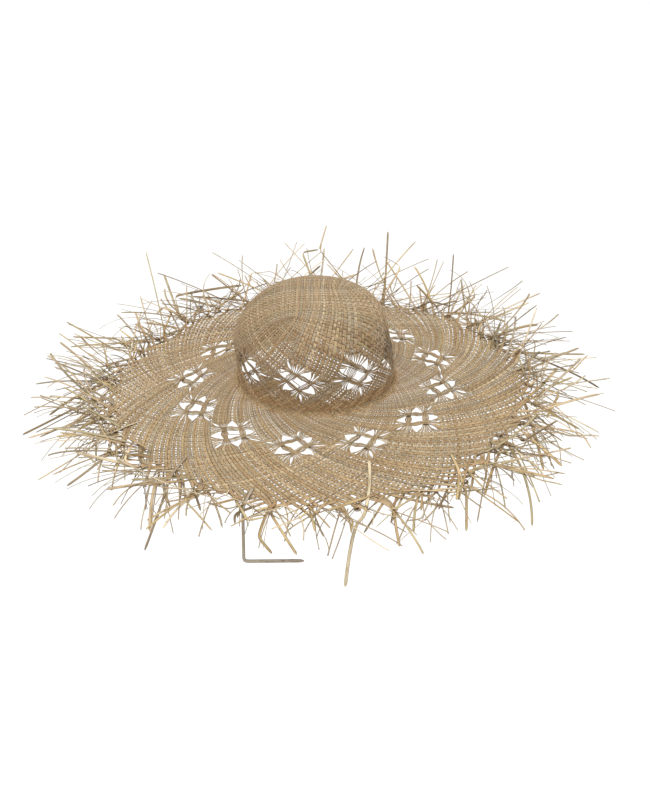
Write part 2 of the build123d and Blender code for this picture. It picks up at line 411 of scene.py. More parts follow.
def crown_rim(outer):
    """Where the straws cross the rim: family, own index, running index and azimuth."""
    around = np.linspace(0, 2 * math.pi, 20001)
    rim_z = outer * np.exp(1j * around)
    rim = crown_index(rim_z) + CROWN_OFFSET
    rim = rim + CROWN_RATE * 1j * (around - np.angle(rim_z))
    whole_u = np.arange(math.ceil(rim.real[-1]), math.ceil(rim.real[-1]) + CROWN_STRAWS)
    whole_v = np.arange(math.ceil(rim.imag[0]), math.ceil(rim.imag[0]) + CROWN_STRAWS)
    azimuth_u = np.interp(-whole_u, -rim.real, around)
    azimuth_v = np.interp(whole_v, rim.imag, around)
    azimuth = np.concatenate([azimuth_u, azimuth_v])
    family = np.repeat([0, 1], CROWN_STRAWS)
    own = np.concatenate([whole_u, whole_v])
    running_u = np.interp(azimuth, around, rim.imag)
    running_v = np.interp(azimuth, around, rim.real)
    return family, own, np.where(family == 0, running_u, running_v), azimuth


def map_velocity(z, before):
    """How fast a straw moves on the map, in the quarter turn nearest its last heading."""
    rate = (z**4 - TOP_CORNER**4) ** 0.25 / CROWN_RATE
    quarter = np.round(np.angle(before / rate) / (math.pi / 2))
    return rate * 1j**quarter


def map_step(z, heading, h):
    """One Runge-Kutta step of every straw along the map."""
    a = map_velocity(z, heading)
    b = map_velocity(z + a * h / 2, a)
    c = map_velocity(z + b * h / 2, b)
    d = map_velocity(z + c * h, c)
    z = z + (a + 2 * b + 2 * c + d) * h / 6
    return z, map_velocity(z, d)


def trace_crown(outer):
    """Follows every crown straw from the rim at map radius outer, over the dome and down.

    Returns (family, own index, running index at each point, points of the map). Points
    are half a cell apart. Each straw is found from both its ends and kept once.
    """
    family, own, running, azimuth = crown_rim(outer)
    z = outer * np.exp(1j * azimuth)
    rate = z / CROWN_RATE
    heading = np.where(family == 0, -1j * rate, -rate)
    z_steps, index_steps = [z], [running]
    step = running - np.floor(running * 2) / 2
    step = np.where(step < 0.1, step + 0.5, step)
    for _ in range(MOST_STEPS):
        for _ in range(2):
            z, heading = map_step(z, heading, step / 2)
        running = running - step
        z_steps.append(z)
        index_steps.append(running)
        step = np.full(z.size, 0.5)
        if (np.abs(z) > outer).all():
            break
    z_steps, index_steps = np.array(z_steps).T, np.array(index_steps).T
    straws = []
    for i in range(len(own)):
        path = z_steps[i]
        end = 3 + int(np.argmax(np.abs(path[3:]) > outer))
        leave = np.angle(path[end]) % (2 * math.pi)
        if azimuth[i] < leave:
            straws.append((family[i], own[i], index_steps[i][: end + 1], path[: end + 1]))
    return straws


def wall_family(u, v):
    """Which family a stretch of straw belongs to on the wall: the one whose index is whole."""
    off_u = np.abs(u - np.round(u)).mean()
    off_v = np.abs(v - np.round(v)).mean()
    return 0 if off_u < off_v else 1


CROWN_ZONES = ["crown_tip", "crown_wall", "crown_base_band"] + [
    f"crown_openwork_{k + 1}" for k in range(CROWN_DIAMONDS)
]
BRIM_ZONES = ["brim_inner_weave", "brim_middle_weave", "brim_outer_weave"] + [
    f"brim_openwork_{k + 1}" for k in range(BRIM_DIAMONDS)
]


def wall_stretches(zeta, wall_start):
    """The points of a straw before and after it goes over the dome."""
    high = np.abs(zeta) < wall_start
    if not high.any():
        return [np.arange(len(zeta))]
    first, last = np.argmax(high), len(zeta) - 1 - np.argmax(high[::-1])
    return [part for part in (np.arange(first), np.arange(last + 1, len(zeta))) if len(part) >= 3]


def gather_on_wall(path, stretches, centres):
    """Where the diamonds move a crown straw on the map, how deep, how it crosses, its zone."""
    moved, zone = np.zeros(len(path), complex), np.zeros(len(path), int)
    deep, knot = np.zeros(len(path)), np.zeros(len(path))
    for stretch in stretches:
        index = crown_index(path[stretch]) + CROWN_OFFSET
        azimuth = np.unwrap(np.angle(path[stretch]))
        index = index + CROWN_RATE * 1j * (azimuth - np.angle(path[stretch]))
        kind = wall_family(index.real, index.imag)
        across, along = (index.real, index.imag) if kind == 0 else (index.imag, index.real)
        shift, inside, which, side = gather(across, along, kind, centres, CROWN_STRAWS, CROWN_GATHERED)
        moved[stretch] = shift * (1 if kind == 0 else 1j) / CROWN_RATE
        deep[stretch], knot[stretch] = inside, side
        zone[stretch] = np.where(which >= 0, which + 3, 1)
    return moved, deep, knot, zone


def crown_zone(zone, height):
    """Turns zones 0 (dome) and 1 (wall) into tip, wall and base band by height."""
    zone = np.where((zone == 1) & (height < BAND_TOP), 2, zone)
    return np.where((zone <= 1) & (height > TIP_EDGE), 0, np.where(zone == 0, 1, zone))


def crown_tone_and_painted_light(height):
    """The crown's tone: greyer towards the tip, and lighter and warmer low down, which is painted light
    against the shade at the crown's base.
    """
    greyer_top = smooth((height - 0.085) / 0.025)[:, None] * (0, 0.05, 0.1)
    # painted light: lighter and warmer low down, against the shade at the crown's base
    painted_base_light = smooth((0.024 - height) / 0.02)[:, None] * (0.2, 0.12, 0.02)
    return CROWN_TONE * (1 + greyer_top + painted_base_light)


def straw_lift(sign, along, deep, knot, stack, family):
    """Height over the weave's middle: over and under, and stacked where bundles cross."""
    wave = WAVE_HEIGHT * sign * np.cos(math.pi * along)
    stacked = chance.uniform(-1, 1) * stack
    return wave * (1 - deep) + deep * (knot * KNOT_LIFT + stacked * np.abs(knot)) + LOWER[family]


def weave_crown(pieces):
    """Every straw from the rim up the wall, over the square grid of the top and down."""
    end = hat.at_radius(CROWN_RADIUS + FLARE_RADIUS * 0.9)
    outer = math.exp(np.interp(end, hat.s, crown_log))
    wall_start = math.exp(np.interp(hat.at_height(TIP_EDGE + 0.003), hat.s, crown_log))
    log_centre = np.interp(hat.at_height(CROWN_DIAMOND_HEIGHT), hat.s, crown_log)
    centres = diamond_centres(
        CROWN_STRAWS, CROWN_DIAMONDS, CROWN_FIRST_AZIMUTH, log_centre, CROWN_GATHERED, CROWN_OFFSET
    )
    for family, own, running, path in trace_crown(outer):
        strayed = path + 1j * np.gradient(path) * 2 * wobble(running)
        zeta = strayed.copy()
        for _ in range(SHIFT_ROUNDS):
            zeta = strayed + crown_shift(zeta)
        moved, deep, knot, zone = gather_on_wall(path, wall_stretches(zeta, wall_start), centres)
        log_zeta = np.log(zeta) + moved
        s = np.interp(log_zeta.real, crown_log, hat.s)
        height = np.interp(s, hat.s, hat.z)
        sign = (-1) ** (own % 2) * (1 if family == 0 else -1)
        lift = straw_lift(sign, running, deep, knot, CROWN_STACK, family)
        share = np.interp(height, CROWN_SHARE_AT, CROWN_SHARE)
        width = np.minimum(crown_pitch(path, zeta, s) * share, WIDEST) * (1 - (1 - NARROWED) * deep)
        width = width * thinner(family, deep, 0.11)
        points, normals = hat.place(s, log_zeta.imag, lift)
        finish_straw(
            pieces, crown_zone(zone, height), points, normals, width, shade=crown_tone_and_painted_light(height)
        )


def crown_pitch(path, zeta, s):
    """The room that one straw has on the dome, from the map's own scale there."""
    per_index = np.abs((path**4 - TOP_CORNER**4) ** 0.25 / CROWN_RATE)
    radius = np.interp(s, hat.s, hat.r)
    slant = np.interp(s, hat.s, crown_slant)
    reach = np.abs(zeta)
    beyond = (crown_shift(reach + 0.002) - crown_shift(reach - 0.002)) / 0.004
    outward = 1 / (1 - (beyond * np.conj(zeta / reach)).real)
    stretch = np.sqrt(2) / np.sqrt(1 + 1 / outward**2)
    squeeze = np.sqrt(2) / np.sqrt(1 + slant**2)
    return np.clip(per_index * radius / reach * squeeze * stretch, LEAST_ROOM, MOST_ROOM)


# ---- brim ----
BRIM_PER_RADIAN = BRIM_STRAWS / (2 * math.pi)
even_azimuth = np.arange(TIES) * 2 * math.pi / TIES - math.pi / 2
tie_azimuth = even_azimuth + chance.uniform(-0.022, 0.022, TIES)
tie_reach = TIE_RADIUS + chance.uniform(-0.009, 0.009, TIES)
tie_strength = chance.uniform(0.45, 1.0, TIES)
brim_edges = [hat.at_radius(OPENWORK_START), hat.at_radius(OPENWORK_END)]
brim_foot = hat.at_radius(CROWN_RADIUS + FLARE_RADIUS)
FOOT_LIFT = 0.0009  # the brim's straws start over the crown's


def nearest_tie(azimuth):
    """The number of the tie nearest to an azimuth."""
    return int(round((azimuth + math.pi / 2) / (2 * math.pi / TIES))) % TIES


def tie_offset(azimuth, tie):
    """The turn from an azimuth to a tie, the short way round."""
    return (tie_azimuth[tie] - azimuth + math.pi) % (2 * math.pi) - math.pi


def brim_index_path(own, low, high):
    """The running index of a brim straw between two map radii, with half-cell steps."""
    first, last = 2 * BRIM_PER_RADIAN * low - own, 2 * BRIM_PER_RADIAN * high - own
    steps = np.arange(math.ceil(first * 2 + 0.2) / 2, last - 0.1, 0.5)
    return np.concatenate([[first], steps, [last]])


def draw_to_tie(azimuth, radius, tie):
    """Turns the outer end of a straw towards its tie."""
    pull = smooth((radius - LOOSENS_AT) / (TIE_RADIUS - LOOSENS_AT)) * tie_strength[tie]
    return azimuth + tie_offset(azimuth[-1], tie) * pull


def brim_tone_and_painted_light(radius):
    """The brim's tone, a little paler where it meets the crown: painted light against the shade in the
    crease there.
    """
    # painted light near the crown's foot
    return BRIM_TONE * (1 + smooth((0.112 - radius) / 0.015)[:, None] * (0.16, 0.12, 0.06))


def brim_width(radius, inside):
    """A brim straw's width before its own variation."""
    pitch = 2 * math.pi * radius / BRIM_STRAWS / math.hypot(1, BRIM_SLANT)
    share = np.interp(radius, BRIM_SHARE_AT, BRIM_SHARE)
    return np.minimum(pitch * share, WIDEST) * (1 - (1 - NARROWED) * inside)


def weave_brim_straw(pieces, family, own, low, centres):
    """One straw from the crown's foot out through the weave, with its loose end."""
    tied = chance.random() < TIED_SHARE
    leave = TIE_RADIUS - 0.011 if tied else chance.uniform(0.236, 0.254)
    high = np.interp(hat.at_radius(leave), hat.s, brim_log)
    along = brim_index_path(own, low, high)
    across = own + wobble(along)
    shift, inside, which, knot = gather(across, along, family, centres, BRIM_STRAWS, BRIM_GATHERED)
    u, v = (across + shift, along) if family == 0 else (along, across + shift)
    log_map, azimuth = (u + v) / (2 * BRIM_PER_RADIAN), (v - u) / (2 * BRIM_PER_RADIAN)
    s = np.interp(log_map, brim_log, hat.s)
    radius = np.interp(s, hat.s, hat.r)
    tie = nearest_tie(azimuth[-1] + (0.05 if family == 0 else -0.05))
    if tied:
        azimuth = draw_to_tie(azimuth, radius, tie)
    zone = np.where(which >= 0, which + 3, np.searchsorted(brim_edges, s))
    sign = (-1) ** own * (1 if family == 0 else -1)
    lift = straw_lift(sign, along, inside, knot, BRIM_STACK, family)
    lift = lift + FOOT_LIFT * smooth((brim_foot - s) / 0.004)
    width = brim_width(radius, inside) * thinner(family, inside, 0.13)
    points, normals = hat.place(s, azimuth, lift)
    loose = loose_end(family, points, tie, tied)
    zone[radius > BRIM_RADIUS] = len(BRIM_ZONES) + fringe_zone(tie_azimuth[tie])
    add_with_end(pieces, zone, points, normals, width, loose, tie, brim_tone_and_painted_light(radius))


def weave_brim(pieces):
    """Two families of spirals from the crown's foot out through the ties to loose ends."""
    low = np.interp(hat.at_height(FLARE_RADIUS * 0.9), hat.s, brim_log)
    log_centre = np.interp(hat.at_radius(BRIM_DIAMOND_RADIUS), hat.s, brim_log)
    centres = diamond_centres(
        BRIM_STRAWS, BRIM_DIAMONDS, BRIM_FIRST_AZIMUTH, log_centre, BRIM_GATHERED, 0j
    )
    for family in (0, 1):
        for own in range(BRIM_STRAWS):
            weave_brim_straw(pieces, family, own, low, centres)


def thinner(family, deep, spread):
    """One straw's width as a share: the second family is narrower, except in a diamond."""
    own = THINNER[family] * (1 + np.clip(chance.normal(0, spread), -0.28, 0.22))
    return own + (1 - own) * deep


def wobble(along):
    """How far a straw strays sideways from its place in the weave, in cells."""
    slow = chance.normal(0, STRAY) * np.sin(along / chance.uniform(4, 14) + chance.uniform(0, 6.28))
    return slow + np.clip(chance.normal(0, STRAY), -0.2, 0.2)


# ---- edge ties and fringe ----
FRINGE_ODDS = (0.34, 0.26, 0.08, 0.14, 0.18)
TIE_ODDS = (0.6, 0.1, 0.1, 0.1, 0.1)
HANGING = (  # bearing at the edge, drop, radius and drift where it leaves the weave, swing, flare, tone
    (11.5, 0.091, 0.186, 7.5, -0.021, 0.0, (1.5, 1.85, 2.3)),
    (SQUARE_BEND, 0.070, 0.236, 0.0, 0.0, 0.0, (0.8, 0.95, 1.35)),
    (-38.5, 0.058, 0.215, -5.0, 0.006, 0.044, (0.55, 0.57, 0.62)),
    (38.4, 0.056, 0.22, 6.0, 0.004, 0.0, (1.3, 1.45, 1.5)),
    (-66.5, 0.032, 0.22, -4.0, 0.004, 0.080, (1.0, 1.05, 1.1)),
)
REACH = 0.366  # no loose end goes further out or lower down
LOWEST = -0.137
STEP = 0.003  # between the points of a loose end
FADES = np.array([(1.4, 1.58, 1.8), (1.3, 1.45, 1.35), (0.72, 0.76, 0.8)])  # pale, yellow, grey
FADE_ODDS = (0.45, 0.33, 0.22)


def turned(azimuth, pitch):
    """A unit vector: azimuth in the plan, pitch above level, in radians."""
    level = np.cos(pitch)
    return np.stack([level * np.cos(azimuth), level * np.sin(azimuth), np.sin(pitch)], -1)


def fringe_zone(azimuth):
    """Which of the fringe's pieces, counted from the front, an azimuth belongs to."""
    bearing = (azimuth + math.pi / 2) % (2 * math.pi)
    return int(bearing / (2 * math.pi) * FRINGE_GROUPS + 1e-6) % FRINGE_GROUPS


def edge_height(azimuth):
    """Height of the weave's edge."""
    at = hat.at_radius(TIE_RADIUS) * np.ones(1)
    return hat.place(at, np.array([azimuth]), 0.0)[0][0, 2]


def walk(start, azimuth, pitch, length, bend, droop, kink):
    """Points of a loose end: a heading that bends, droops and may have a kink."""
    along = np.linspace(0, 1, max(5, int(length / STEP)))
    heading = azimuth + bend * along
    slope = pitch - droop * along**1.3
    if kink is not None:
        after = smooth((along - kink[0]) / 0.05 + 0.5)
        heading = heading + kink[1] * after
        slope = slope + kink[2] * after
    slope = np.clip(slope, -1.45, 1.2)
    return start + np.cumsum(turned(heading, slope) * STEP, axis=0)


def end_slopes(back):
    """How steeply a loose end leaves the brim, and how much it droops along its length."""
    pitch = math.radians(chance.normal(-6 + 22 * back, 8 + 4 * back))
    droop = math.radians(chance.uniform(0, 18))
    kind = chance.random()
    if kind < 0.03:
        droop += math.radians(chance.uniform(45, 85))
    elif kind < 0.18:
        pitch += math.radians(chance.uniform(8, 26))
    return pitch, droop


def end_kink():
    """Where a loose end is kinked, its turn and its change of slope, or None."""
    if chance.random() >= 0.22:
        return None
    turn = math.radians(chance.uniform(25, 100)) * chance.choice([-1, 1])
    return chance.uniform(0.25, 0.8), turn, math.radians(chance.normal(0, 16))


def loose_end(family, points, tie, tied):
    """The part of a straw beyond the weave, through its tie if it has one."""
    ahead = points[-1] - points[-2]
    ahead = ahead / np.linalg.norm(ahead)
    here = points[-1]
    own = math.atan2(here[1], here[0])
    out = tie_azimuth[tie] if tied else own
    front = max(0.0, -math.sin(own))
    lean = math.radians(chance.uniform(0, 34)) * (1 if family == 0 else -1)
    lean += math.radians(chance.normal(0, 12))
    if not tied:
        lean = math.atan2(ahead[1], ahead[0]) - own + math.radians(chance.normal(0, 14))
    pitch, droop = end_slopes(max(0.0, math.sin(own)))
    kink = end_kink()
    length = (0.048 + 0.105 * chance.beta(1.6, 1.6)) * (1 - 0.5 * front**2)
    bend = math.radians(chance.normal(0, 9))
    if not tied:
        return walk(here, own + lean, pitch, length * 0.9, bend, droop, kink)
    radial = turned(out, 0.0)
    aside = np.array([-radial[1], radial[0], 0])
    bunch = radial * tie_reach[tie]
    bunch[2] = edge_height(out) + chance.uniform(-0.0016, 0.0016)
    bunch += aside * chance.uniform(-0.0026, 0.0026)
    entry, leave = bunch - radial * 0.004, bunch + radial * 0.004
    free = walk(leave, out + lean, pitch, length, bend, droop, kink)
    return np.concatenate([[here + ahead * 0.003, entry, leave], free])


def even_steps(path):
    """The path again with even steps, rounded at its corners."""
    length = np.concatenate([[0], np.cumsum(np.linalg.norm(np.diff(path, axis=0), axis=1))])
    even = np.linspace(0, length[-1], max(6, int(length[-1] / STEP)))
    fine = np.stack([np.interp(even, length, path[:, i]) for i in range(3)], -1)
    for _ in range(2):
        fine[1:-1] = fine[1:-1] / 2 + (fine[:-2] + fine[2:]) / 4
    return fine


def keep_inside(path):
    """Cuts a loose end off at the hat's reach."""
    limit = REACH * chance.uniform(0.93, 1)
    out = (np.hypot(path[:, 0], path[:, 1]) > limit) | (path[:, 2] < LOWEST)
    stop = np.argmax(out) if out.any() else len(path)
    return path[: max(stop, 6)]


def end_normals(path, roll):
    """Upward normals along a loose end, rolled about it so its edge comes into view."""
    ahead = np.gradient(path, axis=0)
    ahead /= np.linalg.norm(ahead, axis=1, keepdims=True) + 1e-12
    up = np.array([0, 0, 1.0]) + 0.6 * path / np.linalg.norm(path, axis=1, keepdims=True)
    side = np.cross(ahead, up)
    side /= np.linalg.norm(side, axis=1, keepdims=True) + 1e-9
    up = np.cross(side, ahead)
    turn = roll * smooth(np.linspace(0, 2.5, len(path)))[:, None]
    return up * np.cos(turn) + side * np.sin(turn)


def end_sizes(count, width, blade=None):
    """Width and thickness along a loose end, from the weave's flat straw to a split tip."""
    taper = smooth(np.arange(count) * STEP / 0.014)
    blade = blade or chance.uniform(0.0013, 0.0035)
    thick = chance.uniform(0.0005, 0.0009)
    tip = np.minimum(1, np.linspace(count / 2, 0.4, count))
    wide = (width + (blade - width) * taper) * tip
    return wide, STRAW_THICKNESS + (thick - STRAW_THICKNESS) * taper


def end_shade(count):
    """Loose ends fade from the weave's tone to paler, yellower or greyer straw."""
    faded = FADES[chance.choice(len(FADES), p=FADE_ODDS)]
    there = smooth(np.linspace(0, 1.6, count))[:, None]
    return 1 + (faded * chance.uniform(0.85, 1.1) - 1) * there


def add_with_end(pieces, zone, points, normals, width, loose, tie, shade):
    """One straw of the brim together with its loose end."""
    end = keep_inside(even_steps(np.concatenate([points[-1:], loose])))[1:]
    wide, thick = end_sizes(len(end), width[-1])
    roll = chance.normal(0, 0.7)
    finish_straw(
        pieces,
        np.concatenate([zone, np.full(len(end), len(BRIM_ZONES) + fringe_zone(tie_azimuth[tie]))]),
        np.concatenate([points, end]),
        np.concatenate([normals, end_normals(end, roll)]),
        np.concatenate([width, wide]),
        np.concatenate([np.full(len(points), STRAW_THICKNESS), thick]),
        shade=np.concatenate([shade, end_shade(len(end))]),
    )


def add_loose(pieces, path, width, roll, tone):
    """A straw that belongs to the fringe only."""
    path = keep_inside(even_steps(path))
    wide, thick = end_sizes(len(path), width, width)
    zone = len(BRIM_ZONES) + fringe_zone(math.atan2(path[0, 1], path[0, 0]))
    finish_straw(
        pieces, np.full(len(path), zone), path, end_normals(path, roll), wide, thick, FRINGE_ODDS, tone
    )


def hang_straws(pieces):
    """Straws that have come out of the weave, run out over the edge and hang down."""
    for bearing, drop, start, drift, swing, flare, tone in HANGING:
        azimuth = math.radians(bearing) - math.pi / 2
        radius = np.linspace(start, 0.262, 6)
        turn = math.radians(drift) * np.linspace(1, 0.1, 6)
        over = hat.place(hat.at_radius(radius), azimuth + turn, np.linspace(0.001, 0.0022, 6))[0]
        out = turned(azimuth, 0.0)
        aside = np.array([-out[1], out[0], 0])
        corner = out * 0.270 + [0, 0, over[-1, 2] - 0.003]
        down = np.linspace(0.1, 1, 6)[:, None]
        fall = corner + aside * swing * down**0.4 + out * flare * down - [0, 0, 1] * down * drop
        path = np.concatenate([over, corner[None], fall])
        if bearing == SQUARE_BEND:
            path = np.concatenate([path, path[-1:] + [0.067, 0.004, -0.002]])
        add_loose(pieces, path, 0.0040, 0.2, tone)


def add_fibres(pieces):
    """Thin splits of straw that stick out between the thick ends, fewest at the front."""
    for _ in range(FIBRES):
        azimuth = chance.uniform(0, 2 * math.pi)
        side = math.cos(azimuth) ** 2
        if azimuth > math.pi and chance.random() > 0.35 + 0.65 * side:
            continue
        start = turned(azimuth, 0.0) * chance.uniform(0.232, 0.268)
        start[2] = edge_height(azimuth)
        lean = math.radians(chance.choice([-40, 40]) + chance.normal(0, 22))
        path = walk(
            start, azimuth + lean, math.radians(chance.normal(2, 16)), chance.uniform(0.03, 0.1),
            math.radians(chance.normal(0, 45)), math.radians(chance.uniform(-20, 50)), None,
        )
        path = keep_inside(even_steps(path))
        zone = len(BRIM_ZONES) + fringe_zone(azimuth)
        finish_straw(
            pieces, np.full(len(path), zone), path, end_normals(path, 0.0),
            chance.uniform(0.0008, 0.0018 + 0.0012 * side), STRAW_THICKNESS, FRINGE_ODDS,
            chance.uniform(0.8, 1.5) * np.array([1.0, 1.1, 1.25]),
        )


def wind_ties(straws):
    """Each tie: a straw wound a few turns round its bunch of ends."""
    for number, azimuth in enumerate(tie_azimuth):
        out = turned(azimuth, 0.0)
        aside = np.array([-out[1], out[0], 0])
        wide, high = chance.uniform(0.0028, 0.0038), chance.uniform(0.0020, 0.0026)
        turns = chance.uniform(1.2, 3.0)
        count = int(turns * 14)
        angle = np.linspace(0, turns * 2 * math.pi, count) + chance.uniform(0, 6)
        reach = turns * chance.uniform(0.0010, 0.0014)
        along = np.linspace(-reach, reach, count)
        middle = out * tie_reach[number]
        middle[2] = edge_height(azimuth)
        up = np.array([0, 0, 1.0])
        swell = 1 + 0.06 * np.sin(angle / 2)
        round_it = aside * np.cos(angle)[:, None] * wide + up * np.sin(angle)[:, None] * high
        points = middle + out * along[:, None] + round_it * swell[:, None]
        normals = aside * (np.cos(angle) / wide)[:, None] + up * (np.sin(angle) / high)[:, None]
        normals /= np.linalg.norm(normals, axis=1, keepdims=True)
        finish_straw(
            [straws], np.zeros(count, int), points, normals, 0.0024, STRAW_THICKNESS, TIE_ODDS
        )


# ---- sweatband ----
RIBBON_THICKNESS = 0.0009
STITCHES = 72
THREAD_WIDTH, THREAD_THICKNESS = 0.0007, 0.0006


def ring_mesh(name, profile, segments, material):
    """A closed ring: a profile of (radius, height) corners taken round the Z axis."""
    profile = np.array(profile)
    turn = np.arange(segments) * 2 * math.pi / segments
    corners = np.stack([
        profile[None, :, 0] * np.cos(turn)[:, None],
        profile[None, :, 0] * np.sin(turn)[:, None],
        np.broadcast_to(profile[None, :, 1], (segments, len(profile))),
    ], -1).reshape(-1, 3)
    here = np.arange(segments)[:, None] * len(profile) + np.arange(len(profile))
    ahead = np.roll(here, -1, axis=0)
    quads = np.stack([here, ahead, np.roll(ahead, -1, axis=1), np.roll(here, -1, axis=1)], -1)
    mesh = bpy.data.meshes.new(name)
    mesh.from_pydata(corners.tolist(), [], quads.reshape(-1, 4).tolist())
    mesh.polygons.foreach_set("use_smooth", np.ones(len(mesh.polygons), bool))
    mesh.materials.append(material)
    return link(name, mesh)


def make_sweatband(material):
    """A woven ribbon inside the head opening, with slightly thicker edges."""
    inner, outer, low, high = HEAD_RADIUS, HEAD_RADIUS + RIBBON_THICKNESS, 0.0, RIBBON_TOP
    bead = 0.0008
    profile = [
        (inner + 0.0001, low + 0.0003), (inner + 0.0004, low), (outer - 0.0002, low),
        (outer, low + 0.0003), (outer, low + bead), (outer - 0.0001, (low + high) / 2),
        (outer, high - bead), (outer, high - 0.0003), (outer - 0.0002, high),
        (inner + 0.0004, high), (inner + 0.0001, high - 0.0003), (inner, high - bead),
        (inner + 0.0002, high - 2 * bead), (inner + 0.0002, low + 2 * bead), (inner, low + bead),
    ]
    return ring_mesh("sweatband_ribbon", profile, 360, material)


def sew_sweatband(straws):
    """Slanting stitches over the ribbon's top edge, into the straw."""
    t = np.linspace(0, 1, 9)
    for number in range(STITCHES):
        azimuth = (number + 0.5) * 2 * math.pi / STITCHES + chance.normal(0, 0.004)
        bow = np.sin(t * math.pi)
        radius = HEAD_RADIUS - 0.0001 + 0.0016 * t
        height = RIBBON_TOP - 0.0016 + 0.0022 * bow
        angle = azimuth + (t - 0.5) * 0.026
        points = np.stack([radius * np.cos(angle), radius * np.sin(angle), height], -1)
        normals = np.stack([np.cos(angle) * (2 * t - 1), np.sin(angle) * (2 * t - 1), bow + 0.2], -1)
        normals /= np.linalg.norm(normals, axis=1, keepdims=True)
        finish_straw([straws], np.zeros(t.size, int), points, normals, THREAD_WIDTH, THREAD_THICKNESS)


# ---- materials ----
class Look:
    """A Principled material with short ways to add and join nodes."""

    def __init__(self, name):
        self.material = bpy.data.materials.new(name)
        self.material.use_nodes = True
        self.tree = self.material.node_tree
        self.shader = self.tree.nodes["Principled BSDF"]

    def node(self, kind, settings=None, **inputs):
        """A new node; an input's name has _ for its spaces."""
        made = self.tree.nodes.new(kind)
        for key, value in (settings or {}).items():
            setattr(made, key, value)
        for key, value in inputs.items():
            self.set(made.inputs[key.replace("_", " ")], value)
        return made

    def set(self, socket, value):
        """Joins a socket to another one, or gives it a value."""
        if isinstance(value, bpy.types.NodeSocket):
            self.tree.links.new(value, socket)
        else:
            socket.default_value = value

    def attribute(self, name):
        """A node that reads one of the mesh's attributes."""
        return self.node("ShaderNodeAttribute", {"attribute_name": name})

    def noise(self, vector, scale, detail=2.0, roughness=0.5):
        """Noise stretched by scale = (along, across, seed)."""
        grown = self.node("ShaderNodeVectorMath", {"operation": "MULTIPLY"})
        self.set(grown.inputs[0], vector)
        self.set(grown.inputs[1], scale)
        made = self.node(
            "ShaderNodeTexNoise", Vector=grown.outputs[0], Scale=1.0, Detail=detail, Roughness=roughness
        )
        return made.outputs["Fac"]

    def ramp(self, value, *stops):
        """A colour for a value, from stops of (position, colour)."""
        made = self.node("ShaderNodeValToRGB", Fac=value)
        elements = made.color_ramp.elements
        while len(elements) < len(stops):
            elements.new(0.5)
        for element, (position, colour) in zip(elements, stops):
            element.position = position
            element.color = (*colour, 1)
        return made.outputs["Color"]

    def blend(self, mode, amount, a, b):
        """Two colours mixed or multiplied."""
        made = self.node("ShaderNodeMix", {"data_type": "RGBA", "blend_type": mode})
        self.set(made.inputs[0], amount)
        self.set(made.inputs[6], a)
        self.set(made.inputs[7], b)
        return made.outputs[2]

    def span(self, value, low, high):
        """A value from 0 to 1 brought to low to high."""
        made = self.node("ShaderNodeMapRange", Value=value, To_Min=low, To_Max=high)
        return made.outputs[0]

    def off_middle(self, grain):
        """Distance from a straw's middle line, in metres."""
        made = self.node("ShaderNodeMath", {"operation": "ABSOLUTE"})
        self.set(made.inputs[0], self.node("ShaderNodeSeparateXYZ", Vector=grain).outputs[1])
        return made.outputs[0]

    def bump(self, height, strength, distance):
        """Relief on the surface, distance metres deep."""
        made = self.node("ShaderNodeBump", Strength=strength, Distance=distance, Height=height)
        self.set(self.shader.inputs["Normal"], made.outputs[0])


def straw_look(name, fleck_colour, sheen):
    """Dried straw: fine fibres along each blade, painted shade along a fold down its middle, streaks and
    brown flecks.
    """
    look = Look(name)
    tint, grain = look.attribute("tint").outputs["Color"], look.attribute("grain").outputs["Vector"]
    fibres = look.noise(grain, (28, 2600, 1), 3.0, 0.6)
    streaks = look.noise(grain, (45, 700, 2), 2.0)
    spots = look.noise(grain, (170, 500, 3), 2.0, 0.6)
    shade = look.ramp(fibres, (0.25, (0.74, 0.71, 0.66)), (0.75, (1.14, 1.15, 1.17)))
    colour = look.blend("MULTIPLY", 1.0, tint, shade)
    dark = look.ramp(streaks, (0.45, (1, 1, 1)), (0.72, (0.58, 0.52, 0.44)))
    colour = look.blend("MULTIPLY", 1.0, colour, dark)
    # painted shade: darker along each blade's middle line, as in a fold
    painted_fold_shade = look.node("ShaderNodeMapRange", Value=look.off_middle(grain), From_Max=0.0005, To_Min=0.62)
    colour = look.blend("MULTIPLY", look.span(spots, 0.4, 1.0), colour, painted_fold_shade.outputs[0])
    fleck = look.ramp(spots, (0.63, (0, 0, 0)), (0.72, (1, 1, 1)))
    colour = look.blend("MIX", fleck, colour, fleck_colour)
    look.set(look.shader.inputs["Base Color"], colour)
    look.set(look.shader.inputs["Roughness"], look.span(fibres, 0.45, 0.78))
    look.shader.inputs["Specular IOR Level"].default_value = sheen
    look.bump(fibres, 0.5, 0.00015)
    return look.material


